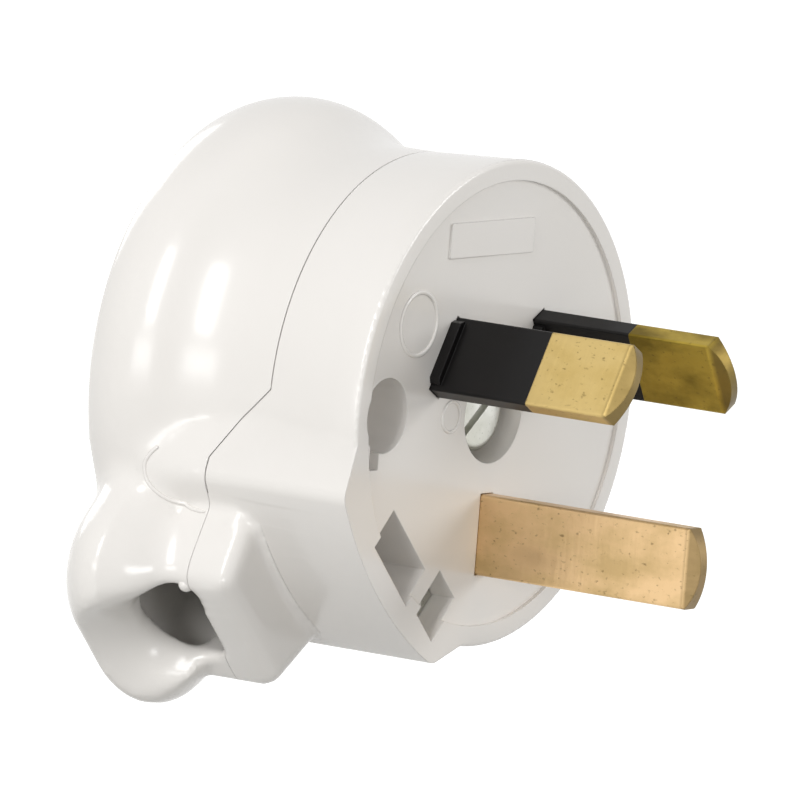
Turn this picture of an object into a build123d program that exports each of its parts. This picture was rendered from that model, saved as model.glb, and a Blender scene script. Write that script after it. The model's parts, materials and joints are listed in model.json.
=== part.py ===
from build123d import *
import os
from math import cos, radians, sin

# Three-pin plug, millimetres. The pins point to -Y, the body runs to +Y and the earth pin is lowest.
# The origin is the centre of the pin pattern, on the plane of the face's rim.

# Round body
FACE_R = 19.15
RIM_ROUND = 0.35
RIM_WIDTH = 1.65
RECESS_R = FACE_R - RIM_WIDTH
RECESS = 0.3
BASE_DEPTH = 8.6
BASE_DRAFT = 0.45
WAIST_R = FACE_R - BASE_DRAFT
WAIST_LENGTH = 3.2
FLANK_START = BASE_DEPTH + WAIST_LENGTH
BODY_DEPTH = 25.9
BACK_LENGTH = 8.1
FLANK_END = BODY_DEPTH - BACK_LENGTH
FLARE = 1.8
FLARE_R = WAIST_R + FLARE
LIP_ROUND = 6.0
LIP_TURN = 73.0
BACK_ROUND = 1.6
WALL = 2.0
PLATE_BACK = 3.3
FIT = 0.05
PARTING_GAP = 0.12

# Tongue on the base, and the pad that carries its shape on over the cover
OUTLET_ANGLE = 225.0
TONGUE_ROOT = 12.0
TONGUE_ROOT_HALF = 13.2
TONGUE_TIP = WAIST_R
TONGUE_TIP_HALF = 9.8
TONGUE_CURVE = 1.6
TONGUE_END = TONGUE_TIP + TONGUE_CURVE
TONGUE_ROUND = 1.6
TONGUE_SPLIT = 13.2
SPLIT_ROOT_HALF = 13.9
SPLIT_HALF = 10.5
PAD_LENGTH = 5.7
PAD_END = TONGUE_SPLIT + PAD_LENGTH
PAD_TAPER = -9.0

# Cord outlet: a tapered neck shared by both mouldings, and the cover's bulb with a bell-shaped mouth.
# A section of the bulb is (depth behind the cord, reach past the tongue, half width, corner).
NECK_ROOT = 12.0
NECK_ROOT_HALF = 9.6
NECK_LENGTH = 5.3
NECK_END = TONGUE_END + NECK_LENGTH
NECK_END_HALF = 6.2
NECK_END_SHIFT = -0.8
NECK_CORNER = 1.0
NECK_PROUD = 3.8
NECK_FRONT = TONGUE_SPLIT - NECK_PROUD
NECK_EDGE = 1.6
NECK_DEPTH = 7.8
NECK_BACK = NECK_FRONT + NECK_DEPTH
CORD_R = 4.0
CORD_RAISE = 2.1
CORD_Y = TONGUE_SPLIT + CORD_RAISE
BULB_ROOT = 11.0
BULB_SECTIONS = (
    (0.0, 6.6, 5.6, 4.2),
    (1.2, 8.7, 7.3, 5.6),
    (2.7, 9.9, 8.7, 6.6),
    (4.45, 10.4, 9.4, 6.9),
    (6.2, 10.0, 9.1, 6.8),
    (7.7, 8.7, 8.0, 6.0),
    (8.9, 6.6, 6.0, 4.5),
    (9.6, 3.9, 3.5, 2.8),
)
THROAT_LIP = 0.6
THROAT_END = NECK_END - THROAT_LIP
BELL_ROUND = 5.0
BELL_LENGTH = 4.6
NECK_END_WALL = 0.8
NECK_ROOM_END = NECK_END - NECK_END_WALL
NECK_ROOM_ROOT_HALF = 8.6
NECK_ROOM_END_HALF = 4.2
BULB_ROOM_SETBACK = 1.2
BULB_ROOM_FRONT = CORD_Y + BULB_ROOM_SETBACK
BULB_ROOM_DEPTH = 5.9
BULB_ROOM_BACK = BULB_ROOM_FRONT + BULB_ROOM_DEPTH
BULB_ROOM_HALF = 6.4
BULB_ROOM_ROUND = 3.0
CLAMP_ROOM_END = 18.2
CLAMP_ROOM_HALF = 8.6
CLAMP_ROOM_DEPTH = 6.0
CLAMP_ROOM_BACK = TONGUE_SPLIT + CLAMP_ROOM_DEPTH
CLAMP_ROOM_ROUND = 1.0
CAVITY_BACK = BODY_DEPTH - WALL
CAVITY_ROUND = 2.5
TROUGH_RISE = 2.6
TROUGH_RUNOUT = 0.1
TROUGH_RISE_END = TONGUE_END + TROUGH_RUNOUT
TROUGH_END = TROUGH_RISE_END - TROUGH_RISE
TROUGH_DEPTH = 4.8
TROUGH_FLOOR = TONGUE_SPLIT - TROUGH_DEPTH
TROUGH_HALF = 4.4

# Pins, to the standard pattern for a 10 A plug
BLADE_WIDTH = 6.35
BLADE_THICK = 1.63
BLADE_EDGE = 0.22
TIP_ROUND = 5.3
TIP_BEVEL = 1.25
TIP_THICK = 0.85
PIN_CIRCLE = 7.92
PIN_ANGLE = 30.0
SHORT_PIN = 17.1
EARTH_DROP = 10.31
EARTH_PIN = 20.3
PIN_ROOT = 6.3
SLEEVE_LENGTH = 8.6
SLEEVE_ROOT = 1.6
SLEEVE_WALL = 0.3
COLLAR_INSET = 0.425
COLLAR_WIDTH = BLADE_WIDTH - 2 * COLLAR_INSET
COLLAR_PROUD = 0.55
COLLAR_LENGTH = 0.9
COLLAR_CHAMFER = 0.35
PIN_FIT = 0.05

# Terminals
TERMINAL_WIDTH = 8.0
TERMINAL_THICK = 5.4
TERMINAL_DEPTH = 8.2
TERMINAL_EDGE = 0.4
TUNNEL_R = 1.75
TUNNEL_Y = 8.7
TERMINAL_SCREW_R = 1.6
TERMINAL_HEAD_R = 2.3
TERMINAL_HEAD = 1.5
TERMINAL_HEAD_ROUND = 0.3
TERMINAL_SCREW = 3.6
SCREW_RAISE = 0.3
SCREW_GAP = 0.05
SCREW_SLOT = 0.7
SLOT_DEPTH = 0.7

# Cover screw, its well in the face and the post that it pulls on
WELL_Z = -0.8
WELL_R = 3.95
WELL_FLOOR = 3.3
WELL_SEAT = 1.6
WELL_BACK = WELL_FLOOR + WELL_SEAT
WELL_WALL = 1.2
COVER_SCREW_R = 1.6
COVER_HEAD_R = 3.2
COVER_HEAD = 1.8
COVER_HEAD_ROUND = 0.6
COVER_SLOT_ANGLE = 38.0
POST_R = 3.6
INSERT_R = 2.5
INSERT_SETBACK = 0.3
INSERT_LENGTH = 7.0
INSERT_START = WELL_BACK + INSERT_SETBACK
INSERT_END = INSERT_START + INSERT_LENGTH
COVER_SCREW_TIP = 0.8
COVER_SCREW_END = INSERT_END + COVER_SCREW_TIP

# Side well and its slot
SIDE_WELL_X = -14.85
SIDE_WELL_Z = -0.15
SIDE_WELL_R = 2.95
SIDE_WELL_DEPTH = 4.6
SIDE_WELL_WALL = 1.0
SIDE_SLOT_LEFT = -16.65
SIDE_SLOT_RIGHT = -15.4
SIDE_SLOT_END = -4.35
SIDE_SLOT_DEPTH = 2.2

# Openings in the tongue, as distances along and across the outlet
WINDOW_NEAR = 14.4
WINDOW_FAR = 18.2
WINDOW_LEFT = -3.4
WINDOW_RIGHT = 3.6
WINDOW_DEPTH = 6.8
NUT_NEAR = 13.1
NUT_FAR = 17.6
NUT_INNER = -5.0
NUT_OUTER = -8.3
TONGUE_WEB = 0.85
WIRING_END = NUT_NEAR - TONGUE_WEB
NUT_POCKET_DEPTH = 6.0
NUT_GAP = 0.1
NUT_FRONT = 2.4
CLAMP_SCREW_R = 1.2
CLAMP_HEAD_R = 1.8
CLAMP_HEAD = 1.4
CLAMP_HEAD_ROUND = 0.4
CLAMP_SCREW_SHORT = 0.5
CLAMP_WIDTH = 4.4
CLAMP_HALF = 8.0
CLAMP_LUG = 1.2
CLAMP_LUG_DEPTH = 2.4
CLAMP_LUG_GAP = 0.1
CLAMP_THICK = 2.2
CLAMP_ARCH = 2.6
CLAMP_ARCH_HALF = 4.2
CLAMP_TOP = TONGUE_SPLIT + CLAMP_THICK

# Raised blank panel on the face
PANEL_LEFT = -7.9
PANEL_RIGHT = 3.6
PANEL_LOW = 11.7
PANEL_HIGH = 14.45
PANEL_PROUD = 0.15

SPIGOT_GAP = 0.1
SPIGOT_R = WAIST_R - WALL - SPIGOT_GAP
SPIGOT_WALL = 1.1
SPIGOT_LENGTH = 1.8
SPIGOT_ROOT = 2.0
RIB_THICK = 1.2
RIB_BACK = 6.3
RIB_ANGLES = (90.0, -30.0)
FAR = 60.0
OVERCUT = 1.0


def direction(angle):
    """Unit vector in the face plane, at an angle from +X towards +Z."""
    return Vector(cos(radians(angle)), 0, sin(radians(angle)))


OUT = direction(OUTLET_ANGLE)
ACROSS = direction(OUTLET_ANGLE - 90)


def face_plane(y):
    """Seen from behind the face: local x is X and local y is -Z."""
    return Plane(origin=(0, y, 0), x_dir=(1, 0, 0), z_dir=(0, 1, 0))


def outlet_plane(y):
    """Parallel to the face: local x runs out along the cord, local y across it."""
    return Plane(origin=(0, y, 0), x_dir=OUT, z_dir=(0, 1, 0))


def outlet_section(distance):
    """Square to the cord: local x runs across the outlet, local y is depth."""
    return Plane(origin=OUT * distance, x_dir=ACROSS, z_dir=OUT)


def seat(x, z, lean):
    """Where a pin stands: local x runs along its width, local z points out of the face."""
    return Plane(origin=(x, 0, z), x_dir=(sin(radians(lean)), 0, cos(radians(lean))), z_dir=(0, -1, 0))


PIN_X = PIN_CIRCLE * cos(radians(PIN_ANGLE))
PIN_Z = PIN_CIRCLE * sin(radians(PIN_ANGLE))
SEATS = {
    "active": seat(-PIN_X, PIN_Z, PIN_ANGLE),
    "neutral": seat(PIN_X, PIN_Z, -PIN_ANGLE),
    "earth": seat(0, -EARTH_DROP, 0),
}
LENGTHS = {"active": SHORT_PIN, "neutral": SHORT_PIN, "earth": EARTH_PIN}
TUNNELS = {"active": SEATS["active"].x_dir, "neutral": SEATS["neutral"].y_dir, "earth": SEATS["earth"].y_dir}
NUT_CENTRE = ((NUT_NEAR + NUT_FAR) / 2, (NUT_INNER + NUT_OUTER) / 2)
SLEEVED = ("active", "neutral")


def back_of(pin_seat, y):
    """The seat's plane moved to a depth y behind the face, facing backwards."""
    origin = pin_seat.origin + Vector(0, y, 0)
    return Plane(origin=origin, x_dir=pin_seat.x_dir, z_dir=(0, 1, 0))


def tongue_outline():
    """Plan of the tongue: tapered sides, a shallow curved end and round corners."""
    with BuildSketch(mode=Mode.PRIVATE) as outline:
        with BuildLine():
            low = Line((TONGUE_ROOT, -TONGUE_ROOT_HALF), (TONGUE_TIP, -TONGUE_TIP_HALF))
            end = ThreePointArc(low @ 1, (TONGUE_END, 0), (TONGUE_TIP, TONGUE_TIP_HALF))
            high = Line(end @ 1, (TONGUE_ROOT, TONGUE_ROOT_HALF))
            Line(high @ 1, low @ 0)
        make_face()
        fillet(outline.vertices().group_by(Axis.X)[-1], TONGUE_ROUND)
    return outline.sketch


def tapered_strip(root, root_half, end, end_half, end_shift=0.0):
    """Plan of the outlet's neck, narrowing towards its end, which may sit to one side."""
    low = end_shift - end_half
    high = end_shift + end_half
    with BuildSketch(mode=Mode.PRIVATE) as strip:
        with BuildLine():
            Polyline((root, -root_half), (end, low), (end, high), (root, root_half), close=True)
        make_face()
    return strip.sketch


def neck():
    """Square-shouldered block under the cord, with round corners and a softened front edge."""
    with BuildPart() as block:
        with BuildSketch(outlet_plane(NECK_FRONT)) as plan:
            add(tapered_strip(NECK_ROOT, NECK_ROOT_HALF, NECK_END, NECK_END_HALF, NECK_END_SHIFT))
            fillet(plan.vertices().group_by(Axis.X)[-1], NECK_CORNER)
        extrude(amount=NECK_BACK - NECK_FRONT)
        fillet(block.faces().sort_by(Axis.Y)[0].edges(), NECK_EDGE)
    return block.part


def outer_form():
    """Everything inside the plug's outer surface, as one solid, before the parting line cuts it."""
    with BuildPart() as form:
        with BuildSketch() as profile:
            with BuildLine():
                rim = Line((0, 0), (FACE_R, 0))
                side = Line(rim @ 1, (WAIST_R, BASE_DEPTH))
                waist = Line(side @ 1, (WAIST_R, FLANK_START))
                flank = TangentArc(waist @ 1, (FLARE_R, FLANK_END), tangent=waist % 1)
                lip = JernArc(flank @ 1, flank % 1, LIP_ROUND, LIP_TURN)
                TangentArc((0, BODY_DEPTH), lip @ 1, tangent=(1, 0))
                Line((0, BODY_DEPTH), (0, 0))
            make_face()
            fillet(profile.vertices().sort_by_distance(lip @ 1)[0], BACK_ROUND)
            fillet(profile.vertices().sort_by_distance(rim @ 1)[0], RIM_ROUND)
        revolve(axis=Axis.Y)
        with BuildSketch(outlet_plane(0)):
            add(tongue_outline())
        extrude(amount=TONGUE_SPLIT)
        with BuildSketch(outlet_plane(TONGUE_SPLIT)):
            add(tongue_outline())
        extrude(amount=PAD_END - TONGUE_SPLIT, taper=PAD_TAPER)
        add(neck())
        for depth, reach, half, corner in BULB_SECTIONS:
            length = TONGUE_END + reach - BULB_ROOT
            with BuildSketch(outlet_plane(CORD_Y + depth)):
                with Locations((BULB_ROOT + length / 2, 0)):
                    RectangleRounded(length, 2 * half, corner)
        loft()
    return form.part


def base_zone(gap):
    """The side of the parting line that the base fills, drawn back by a gap."""
    with BuildPart() as zone:
        with BuildSketch(face_plane(-OVERCUT)):
            Circle(FAR)
        extrude(amount=OVERCUT + BASE_DEPTH - gap)
        with BuildSketch(outlet_section(NECK_ROOT / 2)):
            with BuildLine():
                Polyline(
                    (-SPLIT_ROOT_HALF, 0),
                    (-SPLIT_ROOT_HALF, BASE_DEPTH - gap),
                    (-SPLIT_HALF, TONGUE_SPLIT - gap),
                    (SPLIT_HALF, TONGUE_SPLIT - gap),
                    (SPLIT_ROOT_HALF, BASE_DEPTH - gap),
                    (SPLIT_ROOT_HALF, 0),
                    close=True,
                )
            make_face()
        extrude(amount=FAR)
    return zone.part


def tongue_clearance():
    """Plan of the room that the spigot leaves for the solid tongue of the base."""
    with BuildSketch(mode=Mode.PRIVATE) as room:
        with Locations((FAR / 2, 0)):
            Rectangle(FAR, 2 * SPLIT_ROOT_HALF + WALL)
        with Locations((WIRING_END - SPIGOT_GAP + FAR / 2, 0)):
            Rectangle(FAR, FAR)
    return room.sketch


def throat():
    """Round way out for the cord through the hood, opening to a bell at the mouth."""
    mouth = THROAT_END + BELL_LENGTH
    bell_r = CORD_R + BELL_ROUND - (BELL_ROUND**2 - BELL_LENGTH**2) ** 0.5
    with BuildPart() as passage:
        with BuildSketch(Plane(origin=(0, CORD_Y, 0), x_dir=OUT, z_dir=-ACROSS)):
            with BuildLine():
                start = Line((TROUGH_END, 0), (TROUGH_END, CORD_R))
                bore = Line(start @ 1, (THROAT_END, CORD_R))
                bell = TangentArc(bore @ 1, (mouth, bell_r), tangent=bore % 1)
                Polyline(bell @ 1, (mouth + BELL_ROUND, bell_r), (mouth + BELL_ROUND, 0), start @ 0)
            make_face()
        revolve(axis=Axis((0, CORD_Y, 0), OUT))
    return passage.part


FORM = outer_form()

with BuildPart() as base:
    add(FORM)
    add(base_zone(PARTING_GAP / 2), mode=Mode.INTERSECT)
    with BuildSketch(face_plane(0)):
        Circle(RECESS_R)
    extrude(amount=RECESS, mode=Mode.SUBTRACT)
    # Wiring space behind the pin plate, stopped short of the tongue
    with BuildSketch(outlet_plane(PLATE_BACK)):
        Circle(WAIST_R - WALL)
        with Locations((WIRING_END + FAR / 2, 0)):
            Rectangle(FAR, FAR, mode=Mode.SUBTRACT)
    extrude(amount=FAR, mode=Mode.SUBTRACT)
    # Trough that the cord lies in, open at the back, and its rise to the parting line
    with BuildSketch(outlet_section(0)):
        with Locations((0, TROUGH_FLOOR + TROUGH_HALF)):
            Circle(TROUGH_HALF)
        with Locations((0, TROUGH_FLOOR + TROUGH_HALF + FAR / 2)):
            Rectangle(2 * TROUGH_HALF, FAR)
    extrude(amount=TROUGH_END, mode=Mode.SUBTRACT)
    with BuildSketch(outlet_section(TROUGH_END)):
        with Locations((0, TROUGH_FLOOR + TROUGH_HALF)):
            Circle(TROUGH_HALF)
    with BuildSketch(outlet_section(TROUGH_RISE_END)):
        with Locations((0, TONGUE_SPLIT + CORD_R)):
            Circle(CORD_R)
    loft(ruled=True, mode=Mode.SUBTRACT)
    # Cups behind the centre well and the side well
    with BuildSketch(face_plane(RECESS)):
        with Locations((0, -WELL_Z)):
            Circle(WELL_R + WELL_WALL)
    extrude(amount=WELL_BACK - RECESS)
    with BuildSketch(face_plane(RECESS)):
        with Locations((SIDE_WELL_X, -SIDE_WELL_Z)):
            Circle(SIDE_WELL_R + SIDE_WELL_WALL)
    extrude(amount=SIDE_WELL_DEPTH + SIDE_WELL_WALL - RECESS)
    with BuildSketch(face_plane(0)):
        with Locations((0, -WELL_Z)):
            Circle(WELL_R)
    extrude(amount=WELL_FLOOR, mode=Mode.SUBTRACT)
    with BuildSketch(face_plane(0)):
        with Locations((SIDE_WELL_X, -SIDE_WELL_Z)):
            Circle(SIDE_WELL_R)
    extrude(amount=SIDE_WELL_DEPTH, mode=Mode.SUBTRACT)
    with BuildSketch(face_plane(0)):
        slot_width = SIDE_SLOT_RIGHT - SIDE_SLOT_LEFT
        slot_drop = SIDE_WELL_Z - SIDE_SLOT_END
        with Locations((SIDE_SLOT_LEFT + slot_width / 2, slot_drop / 2 - SIDE_WELL_Z)):
            Rectangle(slot_width, slot_drop)
    extrude(amount=SIDE_SLOT_DEPTH, mode=Mode.SUBTRACT)
    # Barrier ribs between the terminals
    for angle in RIB_ANGLES:
        rib_start = WELL_R + WELL_WALL / 2
        rib_end = WAIST_R - WALL / 2 + WELL_Z
        with BuildSketch(Plane(origin=(0, PLATE_BACK, WELL_Z), x_dir=direction(angle), z_dir=(0, 1, 0))):
            with Locations(((rib_start + rib_end) / 2, 0)):
                Rectangle(rib_end - rib_start, RIB_THICK)
        extrude(amount=RIB_BACK - PLATE_BACK)
    # Screw hole, pin slots, tongue window, nut pocket, clamp screw hole and lug slot
    with BuildSketch(face_plane(0)):
        with Locations((0, -WELL_Z)):
            Circle(COVER_SCREW_R + 2 * FIT)
    extrude(amount=WELL_BACK + OVERCUT, mode=Mode.SUBTRACT)
    for pin_seat in SEATS.values():
        with BuildSketch(back_of(pin_seat, 0)):
            Rectangle(BLADE_WIDTH + 2 * PIN_FIT, BLADE_THICK + 2 * PIN_FIT)
        extrude(amount=PLATE_BACK + OVERCUT, mode=Mode.SUBTRACT)
    with BuildSketch(outlet_plane(0)):
        with Locations(((WINDOW_NEAR + WINDOW_FAR) / 2, (WINDOW_LEFT + WINDOW_RIGHT) / 2)):
            Rectangle(WINDOW_FAR - WINDOW_NEAR, WINDOW_RIGHT - WINDOW_LEFT)
    extrude(amount=WINDOW_DEPTH, mode=Mode.SUBTRACT)
    with BuildSketch(outlet_plane(0)):
        with Locations(NUT_CENTRE):
            Rectangle(NUT_FAR - NUT_NEAR, NUT_INNER - NUT_OUTER)
    extrude(amount=NUT_POCKET_DEPTH, mode=Mode.SUBTRACT)
    with BuildSketch(outlet_plane(0)):
        with Locations(NUT_CENTRE):
            Circle(CLAMP_SCREW_R + 2 * FIT)
    extrude(amount=FAR, mode=Mode.SUBTRACT)
    with BuildSketch(outlet_plane(TONGUE_SPLIT)):
        with Locations((NUT_CENTRE[0], CLAMP_HALF - CLAMP_LUG / 2)):
            Rectangle(CLAMP_WIDTH + 2 * CLAMP_LUG_GAP, CLAMP_LUG + 2 * CLAMP_LUG_GAP)
    extrude(amount=-CLAMP_LUG_DEPTH - CLAMP_LUG_GAP, mode=Mode.SUBTRACT)
    # Blank raised panel above the pins
    with BuildSketch(face_plane(RECESS)):
        with Locations(((PANEL_LEFT + PANEL_RIGHT) / 2, -(PANEL_LOW + PANEL_HIGH) / 2)):
            RectangleRounded(PANEL_RIGHT - PANEL_LEFT, PANEL_HIGH - PANEL_LOW, PANEL_PROUD)
    extrude(amount=-PANEL_PROUD)

with BuildPart() as cover:
    add(FORM)
    add(base_zone(-PARTING_GAP / 2), mode=Mode.SUBTRACT)
    # Hollow of the round body
    with BuildSketch() as hollow:
        with BuildLine():
            floor = Line((0, 0), (WAIST_R - WALL, 0))
            inner_waist = Line(floor @ 1, (WAIST_R - WALL, FLANK_START))
            inner_flank = TangentArc(
                inner_waist @ 1, (FLARE_R - WALL, FLANK_END), tangent=inner_waist % 1
            )
            inner_lip = Line(inner_flank @ 1, (FLARE_R - WALL, CAVITY_BACK))
            inner_back = Line(inner_lip @ 1, (0, CAVITY_BACK))
            Line(inner_back @ 1, floor @ 0)
        make_face()
        fillet(hollow.vertices().sort_by_distance(inner_lip @ 1)[0], CAVITY_ROUND)
    revolve(axis=Axis.Y, mode=Mode.SUBTRACT)
    # Hollow of the outlet: narrow in the neck, wide in the bulb, with room for the clamp
    with BuildSketch(outlet_plane(BASE_DEPTH)):
        add(tapered_strip(NECK_ROOT, NECK_ROOM_ROOT_HALF, NECK_ROOM_END, NECK_ROOM_END_HALF))
    extrude(amount=BULB_ROOM_FRONT - BASE_DEPTH, mode=Mode.SUBTRACT)
    with BuildSketch(outlet_plane(BULB_ROOM_FRONT)):
        with Locations((NECK_ROOM_END / 2, 0)):
            RectangleRounded(NECK_ROOM_END, 2 * BULB_ROOM_HALF, BULB_ROOM_ROUND)
    extrude(amount=BULB_ROOM_BACK - BULB_ROOM_FRONT, mode=Mode.SUBTRACT)
    with BuildSketch(outlet_plane(BASE_DEPTH)):
        with Locations((CLAMP_ROOM_END / 2, 0)):
            RectangleRounded(CLAMP_ROOM_END, 2 * CLAMP_ROOM_HALF, CLAMP_ROOM_ROUND)
    extrude(amount=CLAMP_ROOM_BACK - BASE_DEPTH, mode=Mode.SUBTRACT)
    add(throat(), mode=Mode.SUBTRACT)
    # Spigot that drops inside the base's wall, open at the tongue
    with BuildSketch(outlet_plane(BASE_DEPTH - SPIGOT_LENGTH)):
        Circle(SPIGOT_R)
        Circle(SPIGOT_R - SPIGOT_WALL, mode=Mode.SUBTRACT)
        add(tongue_clearance(), mode=Mode.SUBTRACT)
    extrude(amount=SPIGOT_LENGTH + SPIGOT_ROOT)
    with BuildSketch(outlet_plane(BASE_DEPTH + PARTING_GAP / 2)):
        Circle(WAIST_R - WALL / 2)
        Circle(SPIGOT_R - SPIGOT_WALL, mode=Mode.SUBTRACT)
        add(tongue_clearance(), mode=Mode.SUBTRACT)
    extrude(amount=SPIGOT_ROOT)
    # Post for the cover screw, with its insert pocket
    with BuildSketch(face_plane(WELL_BACK + FIT)):
        with Locations((0, -WELL_Z)):
            Circle(POST_R)
    extrude(amount=CAVITY_BACK + OVERCUT - WELL_BACK - FIT)
    with BuildSketch(face_plane(0)):
        with Locations((0, -WELL_Z)):
            Circle(INSERT_R)
    extrude(amount=INSERT_END, mode=Mode.SUBTRACT)
    with BuildSketch(face_plane(0)):
        with Locations((0, -WELL_Z)):
            Circle(COVER_SCREW_R + 2 * FIT)
    extrude(amount=COVER_SCREW_END + OVERCUT, mode=Mode.SUBTRACT)


def blade(pin_seat, length, sleeved):
    """Flat brass pin with a rounded end and a bevelled tip, thinned where a sleeve goes round it."""
    flat = pin_seat.y_dir
    half = BLADE_WIDTH / 2
    shoulder = length - TIP_ROUND + (TIP_ROUND**2 - half**2) ** 0.5
    with BuildPart() as pin:
        with BuildSketch(back_of(pin_seat, PIN_ROOT)):
            RectangleRounded(BLADE_WIDTH, BLADE_THICK, BLADE_EDGE)
        extrude(amount=-PIN_ROOT - length)
        with BuildSketch(Plane(origin=pin_seat.origin, x_dir=pin_seat.x_dir, z_dir=-flat)):
            with BuildLine():
                sides = Polyline((-half, shoulder), (-half, -PIN_ROOT), (half, -PIN_ROOT), (half, shoulder))
                ThreePointArc(sides @ 1, (0, length), sides @ 0)
            make_face()
        extrude(amount=BLADE_THICK, both=True, mode=Mode.INTERSECT)
        with BuildSketch(Plane(origin=pin_seat.origin, x_dir=flat, z_dir=pin_seat.x_dir)):
            with BuildLine():
                Polyline(
                    (-BLADE_THICK / 2, -PIN_ROOT),
                    (BLADE_THICK / 2, -PIN_ROOT),
                    (BLADE_THICK / 2, length - TIP_BEVEL),
                    (TIP_THICK / 2, length),
                    (-TIP_THICK / 2, length),
                    (-BLADE_THICK / 2, length - TIP_BEVEL),
                    close=True,
                )
            make_face()
        extrude(amount=BLADE_WIDTH, both=True, mode=Mode.INTERSECT)
        if sleeved:
            with BuildSketch(back_of(pin_seat, SLEEVE_ROOT)):
                Rectangle(2 * BLADE_WIDTH, 2 * BLADE_WIDTH)
                Rectangle(
                    BLADE_WIDTH - 2 * SLEEVE_WALL,
                    BLADE_THICK - 2 * SLEEVE_WALL,
                    mode=Mode.SUBTRACT,
                )
            extrude(amount=-SLEEVE_ROOT - SLEEVE_LENGTH, mode=Mode.SUBTRACT)
    return pin.part


def sleeve(pin_seat):
    """Insulation moulded round the root half of a blade, with a collar where it meets the face."""
    with BuildPart() as tube:
        with BuildSketch(back_of(pin_seat, SLEEVE_ROOT)):
            RectangleRounded(BLADE_WIDTH, BLADE_THICK, BLADE_EDGE)
        extrude(amount=-SLEEVE_ROOT - SLEEVE_LENGTH)
        with BuildSketch(back_of(pin_seat, RECESS)):
            collar = Rectangle(COLLAR_WIDTH, BLADE_THICK + 2 * COLLAR_PROUD)
            chamfer(collar.vertices(), COLLAR_CHAMFER)
        extrude(amount=-COLLAR_LENGTH)
        with BuildSketch(back_of(pin_seat, SLEEVE_ROOT)):
            Rectangle(BLADE_WIDTH - 2 * SLEEVE_WALL, BLADE_THICK - 2 * SLEEVE_WALL)
        extrude(amount=-SLEEVE_ROOT - SLEEVE_LENGTH, mode=Mode.SUBTRACT)
    return tube.part


def terminal(pin_seat, tunnel_dir):
    """Brass block on the root of a pin, with a wire tunnel and a threaded hole that meets it."""
    with BuildPart() as block:
        with BuildSketch(back_of(pin_seat, PLATE_BACK)):
            Rectangle(TERMINAL_WIDTH, TERMINAL_THICK)
        extrude(amount=TERMINAL_DEPTH)
        chamfer(block.faces().sort_by(Axis.Y)[-1].edges(), TERMINAL_EDGE)
        with BuildSketch(back_of(pin_seat, PLATE_BACK)):
            Rectangle(BLADE_WIDTH + 2 * PIN_FIT, BLADE_THICK + 2 * PIN_FIT)
        extrude(amount=PIN_ROOT - PLATE_BACK, mode=Mode.SUBTRACT)
        with BuildSketch(Plane(origin=pin_seat.origin + Vector(0, TUNNEL_Y, 0), z_dir=tunnel_dir)):
            Circle(TUNNEL_R)
        extrude(amount=TERMINAL_WIDTH, both=True, mode=Mode.SUBTRACT)
        with BuildSketch(back_of(pin_seat, TUNNEL_Y)):
            Circle(TERMINAL_SCREW_R + SCREW_GAP)
        extrude(amount=TERMINAL_DEPTH, mode=Mode.SUBTRACT)
    return block.part


def slotted_screw(head_plane, shank_r, shank, head_r, head, head_round):
    """Screw whose head stands on a plane, shank behind it, with one driving slot."""
    with BuildPart() as screw:
        with BuildSketch(head_plane):
            Circle(head_r)
        extrude(amount=head)
        fillet(screw.edges().filter_by(GeomType.CIRCLE).sort_by_distance(head_plane.origin)[-1], head_round)
        with BuildSketch(head_plane):
            Circle(shank_r)
        extrude(amount=-shank)
        with BuildSketch(head_plane.offset(head)):
            Rectangle(3 * head_r, SCREW_SLOT)
        extrude(amount=-SLOT_DEPTH, mode=Mode.SUBTRACT)
    return screw.part


with BuildPart() as cover_insert:
    with BuildSketch(face_plane(INSERT_START)):
        with Locations((0, -WELL_Z)):
            Circle(INSERT_R - FIT)
            Circle(COVER_SCREW_R + SCREW_GAP, mode=Mode.SUBTRACT)
    extrude(amount=INSERT_END - INSERT_START)

with BuildPart() as clamp_nut:
    with BuildSketch(outlet_plane(NUT_FRONT)):
        with Locations(NUT_CENTRE):
            Rectangle(NUT_FAR - NUT_NEAR - 2 * NUT_GAP, NUT_INNER - NUT_OUTER - 2 * NUT_GAP)
            Circle(CLAMP_SCREW_R + SCREW_GAP, mode=Mode.SUBTRACT)
    extrude(amount=NUT_POCKET_DEPTH - NUT_FRONT)

with BuildPart() as cord_clamp:
    with BuildSketch(outlet_section(NUT_CENTRE[0])):
        with BuildLine():
            arch = ThreePointArc(
                (-CLAMP_ARCH_HALF, TONGUE_SPLIT),
                (0, TONGUE_SPLIT + CLAMP_ARCH),
                (CLAMP_ARCH_HALF, TONGUE_SPLIT),
            )
            rim_end = Polyline(
                arch @ 1,
                (CLAMP_HALF - CLAMP_LUG, TONGUE_SPLIT),
                (CLAMP_HALF - CLAMP_LUG, TONGUE_SPLIT - CLAMP_LUG_DEPTH),
                (CLAMP_HALF, TONGUE_SPLIT - CLAMP_LUG_DEPTH),
                (CLAMP_HALF, CLAMP_TOP),
                (CLAMP_ARCH_HALF, CLAMP_TOP),
            )
            crown = ThreePointArc(rim_end @ 1, (0, CLAMP_TOP + CLAMP_ARCH), (-CLAMP_ARCH_HALF, CLAMP_TOP))
            Polyline(crown @ 1, (-CLAMP_HALF, CLAMP_TOP), (-CLAMP_HALF, TONGUE_SPLIT), arch @ 0)
        make_face()
    extrude(amount=CLAMP_WIDTH / 2, both=True)
    with BuildSketch(outlet_plane(TONGUE_SPLIT)):
        with Locations(NUT_CENTRE):
            Circle(CLAMP_SCREW_R + 2 * FIT)
    extrude(amount=FAR, mode=Mode.SUBTRACT)

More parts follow.
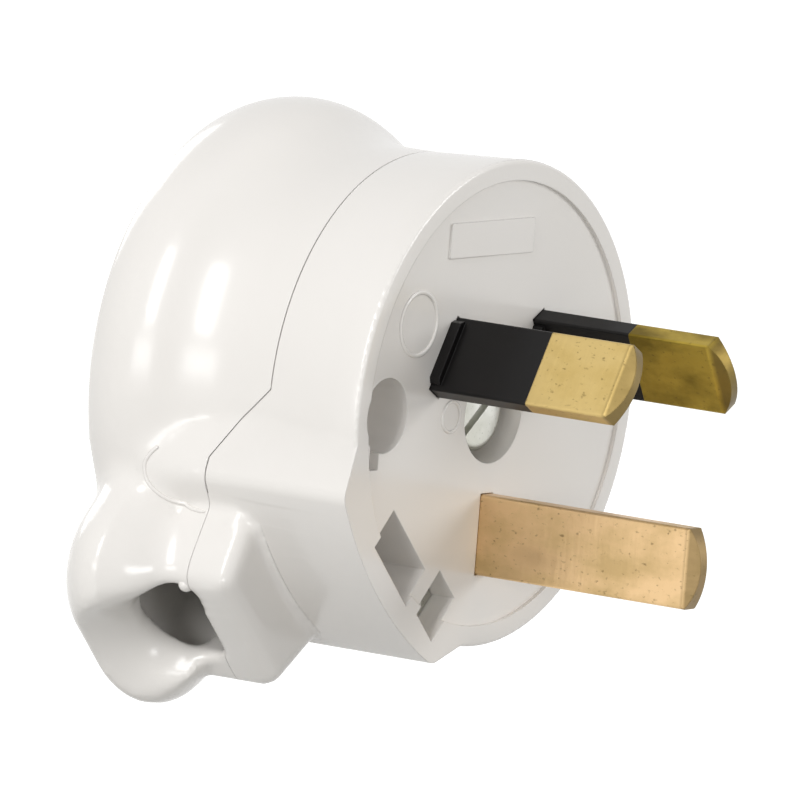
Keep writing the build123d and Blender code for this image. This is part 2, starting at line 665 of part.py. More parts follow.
PIECES = {
    "base": base.part,
    "cover": cover.part,
    "cover_insert": cover_insert.part,
    "clamp_nut": clamp_nut.part,
    "cord_clamp": cord_clamp.part,
}
for name, pin_seat in SEATS.items():
    PIECES[f"{name}_pin"] = blade(pin_seat, LENGTHS[name], name in SLEEVED)
    if name in SLEEVED:
        PIECES[f"{name}_pin_sleeve"] = sleeve(pin_seat)
    PIECES[f"{name}_terminal"] = terminal(pin_seat, TUNNELS[name])
    PIECES[f"{name}_terminal_screw"] = slotted_screw(
        back_of(pin_seat, PLATE_BACK + TERMINAL_DEPTH + SCREW_RAISE),
        TERMINAL_SCREW_R,
        TERMINAL_SCREW,
        TERMINAL_HEAD_R,
        TERMINAL_HEAD,
        TERMINAL_HEAD_ROUND,
    )
PIECES["cover_screw"] = slotted_screw(
    Plane(origin=(0, WELL_FLOOR, WELL_Z), x_dir=direction(COVER_SLOT_ANGLE), z_dir=(0, -1, 0)),
    COVER_SCREW_R,
    COVER_SCREW_END - WELL_FLOOR,
    COVER_HEAD_R,
    COVER_HEAD,
    COVER_HEAD_ROUND,
)
clamp_origin = outlet_plane(CLAMP_TOP).from_local_coords(Vector(*NUT_CENTRE, 0))
PIECES["clamp_screw"] = slotted_screw(
    Plane(origin=clamp_origin, x_dir=OUT, z_dir=(0, 1, 0)),
    CLAMP_SCREW_R,
    CLAMP_TOP - NUT_FRONT - CLAMP_SCREW_SHORT,
    CLAMP_HEAD_R,
    CLAMP_HEAD,
    CLAMP_HEAD_ROUND,
)

os.makedirs("parts", exist_ok=True)
for name, piece in PIECES.items():
    piece.label = name
    export_step(piece, f"parts/{name}.step")
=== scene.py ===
import json
from math import hypot, radians, sqrt

import bmesh
import bpy
from mathutils import Matrix, Vector
from mathutils.bvhtree import BVHTree
from mathutils.kdtree import KDTree


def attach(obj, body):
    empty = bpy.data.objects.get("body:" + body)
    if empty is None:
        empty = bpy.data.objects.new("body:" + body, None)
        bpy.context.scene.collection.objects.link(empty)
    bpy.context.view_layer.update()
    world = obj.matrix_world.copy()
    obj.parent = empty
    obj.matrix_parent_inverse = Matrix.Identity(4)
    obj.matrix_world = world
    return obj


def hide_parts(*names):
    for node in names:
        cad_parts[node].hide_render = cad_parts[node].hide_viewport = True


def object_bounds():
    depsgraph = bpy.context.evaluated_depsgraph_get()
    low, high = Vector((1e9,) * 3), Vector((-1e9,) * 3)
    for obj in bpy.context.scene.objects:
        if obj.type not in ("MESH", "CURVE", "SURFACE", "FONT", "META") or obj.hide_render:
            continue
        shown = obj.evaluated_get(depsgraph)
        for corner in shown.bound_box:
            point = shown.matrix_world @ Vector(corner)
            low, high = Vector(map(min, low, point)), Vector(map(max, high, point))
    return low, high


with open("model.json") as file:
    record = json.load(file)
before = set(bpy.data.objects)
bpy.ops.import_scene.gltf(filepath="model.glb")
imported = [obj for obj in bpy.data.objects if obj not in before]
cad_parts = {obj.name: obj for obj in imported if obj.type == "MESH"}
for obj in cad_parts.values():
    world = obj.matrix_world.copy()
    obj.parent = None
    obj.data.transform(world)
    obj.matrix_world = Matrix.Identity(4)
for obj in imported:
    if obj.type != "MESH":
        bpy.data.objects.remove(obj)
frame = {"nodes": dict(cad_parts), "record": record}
CAD_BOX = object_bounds()
NODES = frame["nodes"]
MM = 0.001

# Camera of the photograph, solved on the pins: a long lens, a little above and to the left of the pin face

CAMERA_PLACE = (-0.96476, -0.64157, 0.14084)
CAMERA_RIGHT = (0.56529, -0.82123, 0.07758)
CAMERA_UP = (0.05626, 0.13221, 0.98962)
CAMERA_BACK = (-0.82297, -0.55506, 0.12094)
LENS = 675.0
SENSOR = 36
NEAREST = 0.05
FURTHEST = 10


def add_camera():
    data = bpy.data.cameras.new("camera")
    data.lens = LENS
    data.sensor_width = SENSOR
    data.clip_start = NEAREST
    data.clip_end = FURTHEST
    obj = bpy.data.objects.new("camera", data)
    axes = Matrix((CAMERA_RIGHT, CAMERA_UP, CAMERA_BACK)).transposed()
    obj.matrix_world = Matrix.Translation(CAMERA_PLACE) @ axes.to_4x4()
    bpy.context.scene.collection.objects.link(obj)
    bpy.context.scene.camera = obj


# Materials. The patterns are in cycles per metre

FLOW_MARKS = 90
RIPPLE = 260
TARNISH_CLOUDS = 330
DARK_SPECKS = 3400
DRAWN_GRAIN = 2600
SCRATCHES = 1400
ALONG_PINS = (1.0, 0.6, 1.0)
GRAIN_STRETCH = (0.12, 1.0, 0.12)
SCRATCH_STRETCH = (1.0, 0.06, 1.0)
SCRATCH_TURN = (0.0, 0.0, 0.3)
PIN_EDGE = 0.12 * MM
# How the painted dark reflection on the pin tips fades in, and how strong it gets
TIP_FADE = 0.5 * MM
TIP_DARK_REFLECTION = 0.8
NO_TIP = 1.0
COLOUR = "NodeSocketColor"
NUMBER = "NodeSocketFloat"
NORMAL = "NodeSocketVector"


class Shades:
    """Short way to add and join the nodes of one material or group."""

    def __init__(self, tree):
        self.tree = tree

    def add(self, kind, settings=None, **inputs):
        node = self.tree.nodes.new(kind)
        for name, value in (settings or {}).items():
            setattr(node, name, value)
        for name, value in inputs.items():
            node.inputs[name.replace("_", " ")].default_value = value
        return node

    def link(self, source, output, target, socket):
        self.tree.links.new(source.outputs[output], target.inputs[socket])

    def noise(self, coords, scale, detail, stretch=(1.0, 1.0, 1.0), turn=(0.0, 0.0, 0.0)):
        """Noise in the piece's own coordinates, in cycles per metre, drawn out along one axis."""
        mapping = self.add("ShaderNodeMapping", Scale=stretch, Rotation=turn)
        texture = self.add("ShaderNodeTexNoise", Scale=scale, Detail=detail)
        self.link(coords, "Object", mapping, "Vector")
        self.link(mapping, "Vector", texture, "Vector")
        return texture

    def spread(self, source, output, low, high, at_low, at_high):
        """Maps a value's range to another one, clamped."""
        node = self.add("ShaderNodeMapRange", From_Min=low, From_Max=high, To_Min=at_low, To_Max=at_high)
        self.link(source, output, node, "Value")
        return node

    def math(self, operation, first, second):
        """Sum, product or larger of two values. Each is a node and the name of its output."""
        node = self.add("ShaderNodeMath", {"operation": operation})
        self.link(*first, node, 0)
        self.link(*second, node, 1)
        return node

    def mixed(self, factor, one, other):
        """Colour that goes from one to the other as the factor rises. Each is a node and its output."""
        node = self.add("ShaderNodeMix", {"data_type": "RGBA"})
        self.link(*factor, node, "Factor")
        self.link(*one, node, "A")
        self.link(*other, node, "B")
        return node


def empty_nodes(owner):
    """The nodes of a material or of the world, cleared for new ones."""
    owner.use_nodes = True
    owner.node_tree.nodes.clear()
    return Shades(owner.node_tree)


def new_group(name, inputs, outputs):
    """Empty node group with named sockets. An input is (name, kind, value)."""
    tree = bpy.data.node_groups.new(name, "ShaderNodeTree")
    for socket, kind, value in inputs:
        tree.interface.new_socket(socket, in_out="INPUT", socket_type=kind).default_value = value
    for socket, kind in outputs:
        tree.interface.new_socket(socket, in_out="OUTPUT", socket_type=kind)
    shades = Shades(tree)
    return shades, shades.add("NodeGroupInput"), shades.add("NodeGroupOutput")


def moulding_group():
    """Flow marks, uneven gloss and a faint ripple, as on a compression moulding."""
    inputs = [("Colour", COLOUR, (0.8, 0.8, 0.8, 1)), ("Darker", COLOUR, (0.7, 0.7, 0.7, 1)),
              ("Gloss low", NUMBER, 0.2), ("Gloss high", NUMBER, 0.3), ("Edge", NUMBER, 0.0001)]
    outputs = [("Colour", COLOUR), ("Roughness", NUMBER), ("Normal", NORMAL)]
    shades, given, result = new_group("moulding", inputs, outputs)
    coords = shades.add("ShaderNodeTexCoord")
    flow = shades.noise(coords, FLOW_MARKS, 4)
    tone = shades.mixed((flow, "Fac"), (given, "Colour"), (given, "Darker"))
    shades.link(tone, "Result", result, "Colour")
    gloss = shades.spread(flow, "Fac", 0.3, 0.7, 0, 1)
    shades.link(given, "Gloss low", gloss, "To Min")
    shades.link(given, "Gloss high", gloss, "To Max")
    shades.link(gloss, "Result", result, "Roughness")
    rounded = shades.add("ShaderNodeBevel", {"samples": 6})
    shades.link(given, "Edge", rounded, "Radius")
    ripple = shades.noise(coords, RIPPLE, 2)
    bump = shades.add("ShaderNodeBump", Strength=0.05, Distance=0.0002)
    shades.link(ripple, "Fac", bump, "Height")
    shades.link(rounded, "Normal", bump, "Normal")
    shades.link(bump, "Normal", result, "Normal")
    return shades.tree


def drawn_brass_group():
    """Cross grain of drawn strip, clouds of tarnish, dark specks, fine scratches, and a painted dark
    reflection that darkens the tip.
    """
    inputs = [("Bright", COLOUR, (0.7, 0.5, 0.2, 1)), ("Tarnish", COLOUR, (0.3, 0.2, 0.1, 1)),
              ("Specks and tip reflection", COLOUR, (0.1, 0.07, 0.03, 1)), ("Amount", NUMBER, 0.5),
              ("Roughness low", NUMBER, 0.3), ("Roughness high", NUMBER, 0.5), ("Tip", NUMBER, NO_TIP)]
    outputs = [("Colour", COLOUR), ("Roughness", NUMBER), ("Normal", NORMAL)]
    shades, given, result = new_group("drawn_brass", inputs, outputs)
    coords = shades.add("ShaderNodeTexCoord")
    clouds = shades.noise(coords, TARNISH_CLOUDS, 6, ALONG_PINS)
    cover = shades.spread(clouds, "Fac", 0.44, 0.66, 0, 1)
    amount = shades.math("MULTIPLY", (cover, "Result"), (given, "Amount"))
    tone = shades.mixed((amount, "Value"), (given, "Bright"), (given, "Tarnish"))
    dots = shades.noise(coords, DARK_SPECKS, 4, ALONG_PINS)
    dark = shades.spread(dots, "Fac", 0.62, 0.74, 0, 0.6)
    speckled = shades.mixed((dark, "Result"), (tone, "Result"), (given, "Specks and tip reflection"))
    # Painted dark reflection: past the Tip depth the pin darkens towards the speck colour, in place of the
    # dark surroundings that the tip mirrors
    along = shades.add("ShaderNodeSeparateXYZ")
    shades.link(coords, "Object", along, "Vector")
    reach = shades.math("ADD", (along, "Y"), (given, "Tip"))
    painted_tip_reflection = shades.spread(reach, "Value", 0, -TIP_FADE, 0, TIP_DARK_REFLECTION)
    tipped = shades.mixed((painted_tip_reflection, "Result"), (speckled, "Result"), (given, "Specks and tip reflection"))
    shades.link(tipped, "Result", result, "Colour")
    rough = shades.spread(clouds, "Fac", 0.35, 0.7, 0, 1)
    shades.link(given, "Roughness low", rough, "To Min")
    shades.link(given, "Roughness high", rough, "To Max")
    shades.link(rough, "Result", result, "Roughness")
    grain = shades.noise(coords, DRAWN_GRAIN, 3, GRAIN_STRETCH)
    scratches = shades.noise(coords, SCRATCHES, 2, SCRATCH_STRETCH, SCRATCH_TURN)
    height = shades.math("ADD", (grain, "Fac"), (scratches, "Fac"))
    rounded = shades.add("ShaderNodeBevel", {"samples": 4}, Radius=PIN_EDGE)
    bump = shades.add("ShaderNodeBump", Strength=0.35, Distance=0.00003)
    shades.link(height, "Value", bump, "Height")
    shades.link(rounded, "Normal", bump, "Normal")
    shades.link(bump, "Normal", result, "Normal")
    return shades.tree


def new_material(name, group, values, metallic=0.0, shine=0.5):
    """Principled surface fed by one group that is placed with this material's own values."""
    material = bpy.data.materials.new(name)
    shades = empty_nodes(material)
    shader = shades.add("ShaderNodeBsdfPrincipled", Metallic=metallic, Specular_IOR_Level=shine)
    output = shades.add("ShaderNodeOutputMaterial")
    shades.link(shader, "BSDF", output, "Surface")
    finish = shades.add("ShaderNodeGroup", {"node_tree": group})
    for socket, value in values.items():
        finish.inputs[socket].default_value = value
    shades.link(finish, "Colour", shader, "Base Color")
    shades.link(finish, "Roughness", shader, "Roughness")
    shades.link(finish, "Normal", shader, "Normal")
    return material


def plastic(name, colour, darker, gloss, edge, shine):
    values = {"Colour": (*colour, 1), "Darker": (*darker, 1), "Gloss low": gloss[0], "Gloss high": gloss[1],
              "Edge": edge}
    return new_material(name, MOULDING, values, 0.0, shine)


# Brass or steel. The speck colour also colours the painted dark reflection past the tip depth
def metal(name, bright, tarnish, specks_and_tip_reflection, amount, roughness, tip=NO_TIP):
    values = {"Bright": (*bright, 1), "Tarnish": (*tarnish, 1), "Specks and tip reflection": (*specks_and_tip_reflection, 1),
              "Amount": amount, "Roughness low": roughness[0], "Roughness high": roughness[1], "Tip": tip}
    return new_material(name, DRAWN_BRASS, values, 1.0)


# Dark speck colour of the brass, also used for the painted dark reflection on the pin tips
BRASS_SPECKS_AND_TIP_REFLECTION = (0.10, 0.07, 0.025)
STEEL_SPECKS = (0.2, 0.2, 0.17)
MOULDING = moulding_group()
DRAWN_BRASS = drawn_brass_group()
# Each pin's tip depth is where its painted dark reflection starts
MATERIALS = {
    "white_plastic": plastic("white_plastic", (0.80, 0.775, 0.745), (0.76, 0.735, 0.70), (0.17, 0.23),
                             edge=0.14 * MM, shine=0.5),
    "black_plastic": plastic("black_plastic", (0.006, 0.005, 0.005), (0.004, 0.004, 0.004), (0.26, 0.36),
                             edge=0.08 * MM, shine=0.22),
    "active_brass": metal("active_brass", (0.58, 0.43, 0.175), (0.42, 0.30, 0.10), BRASS_SPECKS_AND_TIP_REFLECTION, 0.6,
                          (0.36, 0.48), tip=15.6 * MM),
    "neutral_brass": metal("neutral_brass", (0.40, 0.29, 0.05), (0.13, 0.09, 0.012), BRASS_SPECKS_AND_TIP_REFLECTION, 0.85,
                           (0.34, 0.48), tip=15.8 * MM),
    "earth_brass": metal("earth_brass", (0.72, 0.50, 0.27), (0.42, 0.30, 0.13), BRASS_SPECKS_AND_TIP_REFLECTION, 0.7,
                         (0.32, 0.46), tip=18.8 * MM),
    "terminal_brass": metal("terminal_brass", (0.66, 0.50, 0.22), (0.45, 0.32, 0.12), BRASS_SPECKS_AND_TIP_REFLECTION, 0.4,
                            (0.28, 0.4)),
    "plated_steel": metal("plated_steel", (0.66, 0.66, 0.62), (0.44, 0.44, 0.38), STEEL_SPECKS, 0.6,
                          (0.26, 0.4)),
}
for part in frame["record"]["subparts"]:
    node = NODES[part["node"]]
    node.data.materials.clear()
    node.data.materials.append(MATERIALS[part["material_slot"]])


# Places on the outlet: out along the cord, across it and back from the face, all in millimetres

OUT = Vector((-sqrt(0.5), 0, -sqrt(0.5)))
ACROSS = Vector((-sqrt(0.5), 0, sqrt(0.5)))
BACK = Vector((0, 1, 0))
MERGE = 0.001 * MM


def place(out, across, back):
    return (OUT * out + ACROSS * across + BACK * back) * MM


def outlet_coordinates(point):
    return point.dot(OUT) / MM, point.dot(ACROSS) / MM, point.y / MM


def smooth_faces(bm):
    for face in bm.faces:
        face.smooth = True


def scratch_object(name, bm):
    """Object that holds a bmesh's shape. The bmesh is used up."""
    mesh = bpy.data.meshes.new(name)
    bm.to_mesh(mesh)
    bm.free()
    obj = bpy.data.objects.new(name, mesh)
    bpy.context.scene.collection.objects.link(obj)
    return obj


def discard(obj):
    mesh = obj.data
    bpy.data.objects.remove(obj)
    bpy.data.meshes.remove(mesh)


def link_piece(name, bm, slot):
    """Gives a finished bmesh its object, its material and its body."""
    obj = scratch_object(name, bm)
    obj.data.materials.append(MATERIALS[slot])
    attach(obj, "root")
    return obj


# Housing: the cover and the end of the base's outlet are given one even skin, softened where the real
# mouldings flow, and cut apart again at the parting line, which leaves that edge crisp. In each pair
# below, the first depth is the rim's and the second is the one over the tongue, in millimetres

COVER_PARTING = (8.63, 13.23)
BASE_PARTING = (8.6, 13.2)
SPLIT_HALF = 10.5
SPLIT_ROOT_HALF = 13.9
SPLIT_START = 6.0
SURPLUS = 1.2
SKIN_CELL = 0.32 * MM
FAR = 45.0
AHEAD = 2
RIDGE_LAP = 1
BODY_R = 17.6
OUTLET_START = 19.2
OUTLET_FRONT = 8.9
OUTLET_SURPLUS = 1.5
OVERLAP = 0.04
CORD_DEPTH = 15.3
CORNER_ANGLE = radians(15)
CORNER_STEP = 0.5 * MM
CREASE_ANGLE = radians(35)

# Where the skin is softened, in the outlet's coordinates, and how many rounds each place gets

HOOD_OUT = 12
HOOD_START = 18.7
HOOD_REACHES = (3.6, 3.0, 2.4, 1.8)
HOOD_ROUNDS = 8
NECK_OUT = 19.5
NECK_BACK = (9.6, 13.2)
NECK_CLEAR = 0.7 * MM
SKIN_MARGIN = 0.8
SKIN_BACK = 9.5
SKIN_ROUNDS = 3
THROAT_OUT = (20.5, 26.5)
THROAT_R = 5.2
THROAT_ROUNDS = 10
UPPER_OUT = 20.6
UPPER_BACK = (10.2, 19)
UPPER_STEP = 13.6
UPPER_SHIFT = 3.5
UPPER_EDGES = ((-2.0, 15), (-1.0, 15), (0.0, 15), (1.0, 15), (2.0, 20))


def parting_depth(out, across):
    """Depth of the cover's edge, which climbs over the tongue."""
    rim, split = COVER_PARTING
    if out < SPLIT_START:
        return rim
    climb = (split - rim) / (SPLIT_ROOT_HALF - SPLIT_HALF)
    return min(split, max(rim, split - (abs(across) - SPLIT_HALF) * climb))


def on_parting(face):
    out, across, back = outlet_coordinates(face.calc_center_median())
    return face.normal.y < -0.3 and abs(back - parting_depth(out, across)) < 0.05


def merged_copy(name):
    """A CAD node's mesh with its loose triangles joined. The stored normals go, because cuts spoil them."""
    mesh = NODES[name].data.copy()
    mesh.attributes.remove(mesh.attributes["custom_normal"])
    bm = bmesh.new()
    bm.from_mesh(mesh)
    bpy.data.meshes.remove(mesh)
    bmesh.ops.remove_doubles(bm, verts=bm.verts, dist=MERGE)
    bm.normal_update()
    return bm


def inner_corners(bm, wanted):
    """Points along the inner corners of a moulding, for finding how far a place is from them."""
    points = []
    for edge in bm.edges:
        start, end = [v.co for v in edge.verts]
        if wanted(*outlet_coordinates((start + end) / 2)) and edge.calc_face_angle_signed() < -CORNER_ANGLE:
            steps = max(1, round(edge.calc_length() / CORNER_STEP))
            points += [start.lerp(end, i / steps) for i in range(steps + 1)]
    tree = KDTree(len(points))
    for i, point in enumerate(points):
        tree.insert(point, i)
    tree.balance()
    return tree


def at_hood(out, across, back):
    return out > HOOD_OUT and back > HOOD_START and out * out + across * across > BODY_R**2


def at_neck(out, across, back):
    return out > NECK_OUT and NECK_BACK[0] < back < NECK_BACK[1]


def baked(obj):
    """A scratch object's mesh with its modifiers applied. The object itself goes."""
    bm = bmesh.new()
    bm.from_object(obj, bpy.context.evaluated_depsgraph_get())
    discard(obj)
    return bm


def combined(bm, other, how):
    """Boolean of two closed meshes. Both are used up."""
    first = scratch_object("first", bm)
    second = scratch_object("second", other)
    step = first.modifiers.new(how, "BOOLEAN")
    step.operation = how
    step.solver = "MANIFOLD"
    step.object = second
    result = baked(first)
    discard(second)
    return result


def drawn_out(bm, faces, shift):
    """Extrudes faces and moves the new ones by a shift."""
    grown = bmesh.ops.extrude_face_region(bm, geom=faces)
    moved = [v for v in grown["geom"] if isinstance(v, bmesh.types.BMVert)]
    bmesh.ops.translate(bm, verts=moved, vec=shift)


def block(outline, shift):
    """Closed block: a flat outline of points, carried along by one shift."""
    bm = bmesh.new()
    face = bm.faces.new([bm.verts.new(corner) for corner in outline])
    drawn_out(bm, [face], shift)
    bmesh.ops.recalc_face_normals(bm, faces=bm.faces)
    return bm


def front_of(parting):
    """Everything in front of the parting line: a slab, with a ridge over the tongue."""
    rim, split = parting
    square = ((-FAR, -FAR), (FAR, -FAR), (FAR, FAR), (-FAR, FAR))
    slab = block([place(out, across, -AHEAD) for out, across in square], BACK * (rim + AHEAD) * MM)
    profile = ((-SPLIT_ROOT_HALF, rim), (-SPLIT_HALF, split), (SPLIT_HALF, split), (SPLIT_ROOT_HALF, rim),
               (SPLIT_ROOT_HALF, rim - RIDGE_LAP), (-SPLIT_ROOT_HALF, rim - RIDGE_LAP))
    corners = [place(SPLIT_START, across, back) for across, back in profile]
    ridge = block(corners, OUT * (FAR - SPLIT_START) * MM)
    return combined(slab, ridge, "UNION")


def outlet_room(grow):
    """Block round the end of the outlet, from just outside the pin face."""
    start = OUTLET_START - grow
    front = OUTLET_FRONT - grow
    corners = [place(start, across, back) for across, back in
               ((-FAR, front), (FAR, front), (FAR, FAR), (-FAR, FAR))]
    return block(corners, OUT * FAR * MM)


def soften(bm, wanted, rounds):
    verts = [v for v in bm.verts if wanted(v.co)]
    for _ in range(rounds):
        bmesh.ops.smooth_vert(bm, verts=verts, factor=0.5, use_axis_x=True, use_axis_y=True, use_axis_z=True)


def off_base(point):
    out, across, back = outlet_coordinates(point)
    return out > OUTLET_START + SKIN_MARGIN or back > SKIN_BACK


def at_throat(point):
    out, across, back = outlet_coordinates(point)
    return THROAT_OUT[0] < out < THROAT_OUT[1] and hypot(across, back - CORD_DEPTH) < THROAT_R


def joined_skin():
    """The cover with its edge drawn forward over the outlet's end of the base, as one softened skin."""
    cover = merged_copy("cover")
    hood = inner_corners(cover, at_hood)
    drawn_out(cover, [f for f in cover.faces if on_parting(f)], -BACK * SURPLUS * MM)
    base = merged_copy("base")
    neck = inner_corners(base, at_neck)
    end = combined(base, outlet_room(OUTLET_SURPLUS), "INTERSECT")
    both = bmesh.new()
    for half in (end, cover):
        obj = scratch_object("half", half)
        both.from_mesh(obj.data)
        discard(obj)
    moulding = scratch_object("moulding", both)
    skin = moulding.modifiers.new("even_skin", "REMESH")
    skin.mode = "VOXEL"
    skin.voxel_size = SKIN_CELL
    bm = baked(moulding)
    smooth_faces(bm)
    soften(bm, off_base, SKIN_ROUNDS)
    for reach in HOOD_REACHES:
        soften(bm, lambda point: hood.find(point)[2] < reach * MM, HOOD_ROUNDS)
    soften(bm, at_throat, THROAT_ROUNDS)
    for edge, rounds in UPPER_EDGES:
        def at_upper_end(point):
            out, across, back = outlet_coordinates(point)
            clear = neck.find(point)[2] > NECK_CLEAR
            limit = edge if back > UPPER_STEP else edge + UPPER_SHIFT
            return out > UPPER_OUT and across > limit and UPPER_BACK[0] < back < UPPER_BACK[1] and clear

        soften(bm, at_upper_end, rounds)
    return bm


def finish_shell(name, bm, node):
    shell = link_piece(name, bm, "white_plastic")
    shell.data.set_sharp_from_angle(angle=CREASE_ANGLE)
    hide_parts(node)
    return shell


def make_housing():
    skin = joined_skin()
    end = combined(skin.copy(), front_of(BASE_PARTING), "INTERSECT")
    end = combined(end, outlet_room(OVERLAP), "INTERSECT")
    root = combined(merged_copy("base"), outlet_room(0), "DIFFERENCE")
    finish_shell("base_shell", combined(root, end, "UNION"), "base")
    cover = finish_shell("cover_shell", combined(skin, front_of(COVER_PARTING), "DIFFERENCE"), "cover")
    make_pad_edge(cover)


# Fine raised edge round the lower end of the pad that carries the tongue on over the cover

PAD_EDGE = ((20.1, 7.1, 13.45), (20.0, 7.4, 16.3), (19.5, 8.6, 18.35), (19.0, 10.4, 18.6), (18.6, 11.6, 18.0),
            (18.3, 12.3, 17.2))
PAD_BEAD_R = 0.16
PAD_BEAD_SIDES = 10
PAD_END_TAPER = 0.5


def pad_edge_line(skin):
    """Points of a smooth line through PAD_EDGE, laid on the cover's skin."""
    line = bpy.data.curves.new("pad_edge", "CURVE")
    line.dimensions = "3D"
    spline = line.splines.new("NURBS")
    spline.points.add(len(PAD_EDGE) - 1)
    for point, spot in zip(spline.points, PAD_EDGE):
        point.co = (*skin.find_nearest(place(*spot))[0], 1)
    spline.order_u = 3
    spline.use_endpoint_u = True
    spline.resolution_u = 10
    path = bpy.data.objects.new("pad_edge_path", line)
    bpy.context.scene.collection.objects.link(path)
    centres = [v.co for v in bpy.data.meshes.new_from_object(path).vertices]
    bpy.data.objects.remove(path)
    bpy.data.curves.remove(line)
    return [skin.find_nearest(centre)[0] for centre in centres]


def make_pad_edge(cover):
    centres = pad_edge_line(BVHTree.FromObject(cover, bpy.context.evaluated_depsgraph_get()))
    last = len(centres) - 1
    bm = bmesh.new()
    rings = []
    for i, centre in enumerate(centres):
        along = centres[min(i + 1, last)] - centres[max(i - 1, 0)]
        taper = 1 if 0 < i < last else PAD_END_TAPER
        turn = along.to_track_quat("Z", "Y").to_matrix().to_4x4()
        ring = bmesh.ops.create_circle(bm, segments=PAD_BEAD_SIDES, radius=PAD_BEAD_R * taper * MM,
                                       matrix=Matrix.Translation(centre) @ turn)
        rings.append(ring["verts"])
    for one, two in zip(rings, rings[1:]):
        edges = dict.fromkeys(e for v in one + two for e in v.link_edges if len(e.link_faces) < 2)
        bmesh.ops.bridge_loops(bm, edges=[e for e in edges if {*e.verts} <= {*one} or {*e.verts} <= {*two}])
    bmesh.ops.holes_fill(bm, edges=bm.edges, sides=0)
    bmesh.ops.recalc_face_normals(bm, faces=bm.faces)
    smooth_faces(bm)
    link_piece("pad_edge", bm, "white_plastic")


# Small raised marks on the pin face, and the moulding's nub beside the cord outlet. A ring is its x and z,
# its radius and the width of its line

FACE_DEPTH = 0.3
SUNK = 0.05
RAISED = 0.13
RINGS = ((-11.3, 6.8, 2.47, 0.34), (-5.85, -0.75, 1.2, 0.26))
RING_STEPS = 48
NUB_PLACE = (25.0, 4.1, 13.75)
NUB_RADII = (0.7, 0.6, 0.6)


def raised_ring(bm, x, z, radius, width):
    """Ring with a rounded crown, spun about its own axis."""
    half = width / 2
    profile = ((-half, SUNK), (-half, -RAISED * 0.6), (-half * 0.5, -RAISED), (half * 0.5, -RAISED),
               (half, -RAISED * 0.6), (half, SUNK))
    verts = [bm.verts.new(Vector((x + radius + side, FACE_DEPTH + back, z)) * MM) for side, back in profile]
    outline = bm.faces.new(verts)
    bmesh.ops.spin(bm, geom=[outline], cent=Vector((x, 0, z)) * MM, axis=(0, 1, 0), angle=radians(360),
                   steps=RING_STEPS, use_merge=True)


def make_face_marks():
    bm = bmesh.new()
    for ring in RINGS:
        raised_ring(bm, *ring)
    bmesh.ops.remove_doubles(bm, verts=bm.verts, dist=MERGE)
    outlines = [f for f in bm.faces if len(f.verts) > 4]
    bmesh.ops.delete(bm, geom=outlines, context="FACES_ONLY")
    bmesh.ops.recalc_face_normals(bm, faces=bm.faces)
    smooth_faces(bm)
    link_piece("face_marks", bm, "white_plastic")


def make_outlet_nub():
    bm = bmesh.new()
    size = Matrix.Diagonal((*NUB_RADII, 1))
    bmesh.ops.create_uvsphere(bm, u_segments=24, v_segments=12, radius=MM, matrix=size)
    bmesh.ops.translate(bm, verts=bm.verts, vec=place(*NUB_PLACE))
    smooth_faces(bm)
    link_piece("outlet_nub", bm, "white_plastic")


# Floor, light and background. A lamp is its name, its place and size in metres, and its strength

FLOOR_DROP = 4 * MM
FLOOR_HALF = 3.0
FLOOR_COLOUR = (0.44, 0.44, 0.43, 1)
FLOOR_LIFT = 0.82
WHITE = (1, 1, 1, 1)
SKY_LEVEL = 0.5
WHITE_LEVEL = 1.0
LAMPS = (
    ("key", (-0.65, -0.02, 0.42), (0.2, 0.4), 2.7),
    ("right", (0.5, -0.68, 0.22), (0.3, 0.3), 2.2),
    ("left", (-0.8, 0.0, 0.07), (0.4, 0.16), 1.1),
    ("front", (-0.55, -0.8, 0.08), (0.2, 0.18), 1.1),
    ("back", (0.35, 0.8, 0.35), (0.4, 0.4), 1.8),
)


def seen_rays(shades):
    """One for the rays that show the background: camera, mirror and clear ones."""
    path = shades.add("ShaderNodeLightPath")
    either = shades.math("MAXIMUM", (path, "Is Camera Ray"), (path, "Is Glossy Ray"))
    return shades.math("MAXIMUM", (either, "Value"), (path, "Is Transmission Ray"))


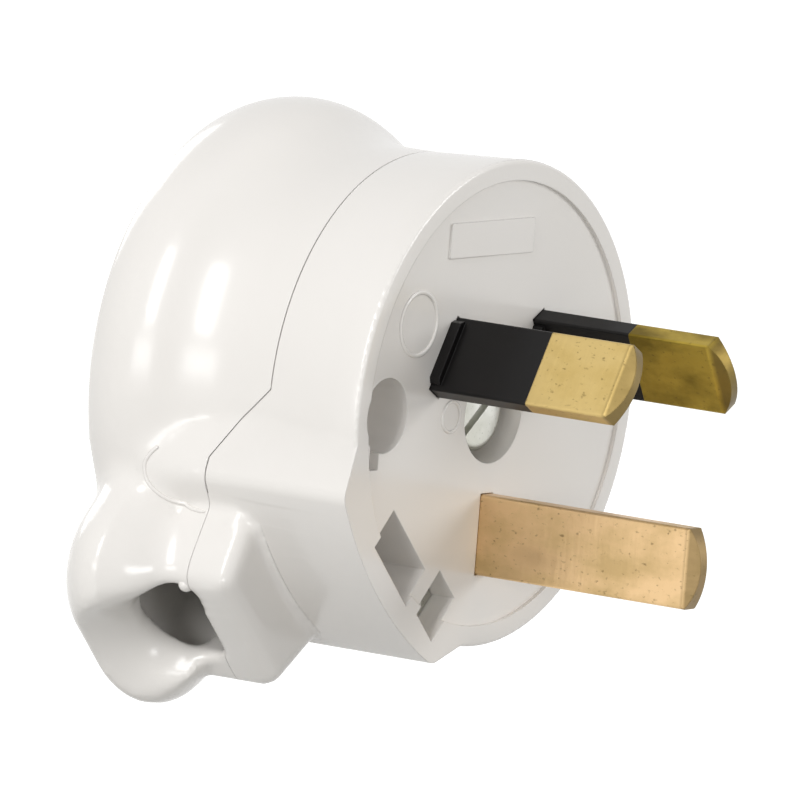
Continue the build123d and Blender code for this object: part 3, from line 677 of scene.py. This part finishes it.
def add_floor():
    """Pale floor, lifted to white for the camera, with the plug's shadow still on it."""
    level = Matrix.Translation((0, 0, CAD_BOX[0].z - FLOOR_DROP))
    bm = bmesh.new()
    bmesh.ops.create_grid(bm, x_segments=1, y_segments=1, size=FLOOR_HALF, matrix=level)
    floor = scratch_object("floor", bm)
    material = bpy.data.materials.new("floor")
    shades = empty_nodes(material)
    pale = shades.add("ShaderNodeBsdfDiffuse", Color=FLOOR_COLOUR)
    lift = shades.add("ShaderNodeMath", {"operation": "MULTIPLY"})
    shades.link(seen_rays(shades), "Value", lift, 0)
    lift.inputs[1].default_value = FLOOR_LIFT
    white = shades.add("ShaderNodeEmission")
    shades.link(lift, "Value", white, "Strength")
    both = shades.add("ShaderNodeAddShader")
    shades.link(pale, "BSDF", both, 0)
    shades.link(white, "Emission", both, 1)
    output = shades.add("ShaderNodeOutputMaterial")
    shades.link(both, "Shader", output, "Surface")
    floor.data.materials.append(material)


def add_world():
    world = bpy.data.worlds.new("world")
    bpy.context.scene.world = world
    shades = empty_nodes(world)
    sky = shades.add("ShaderNodeBackground", Color=WHITE, Strength=SKY_LEVEL)
    white = shades.add("ShaderNodeBackground", Color=WHITE, Strength=WHITE_LEVEL)
    mix = shades.add("ShaderNodeMixShader")
    shades.link(seen_rays(shades), "Value", mix, 0)
    shades.link(sky, "Background", mix, 1)
    shades.link(white, "Background", mix, 2)
    output = shades.add("ShaderNodeOutputWorld")
    shades.link(mix, "Shader", output, "Surface")


def add_softbox(name, position, size, strength):
    """Rectangular lamp that faces the plug."""
    data = bpy.data.lights.new(name, "AREA")
    data.shape = "RECTANGLE"
    data.size, data.size_y = size
    data.energy = strength
    obj = bpy.data.objects.new(name, data)
    turn = (-Vector(position)).to_track_quat("-Z", "Y").to_matrix().to_4x4()
    obj.matrix_world = Matrix.Translation(position) @ turn
    bpy.context.scene.collection.objects.link(obj)


add_camera()
make_housing()
make_face_marks()
make_outlet_nub()
add_floor()
add_world()
for lamp in LAMPS:
    add_softbox(*lamp)

bpy.context.scene.view_settings.view_transform = "Standard"
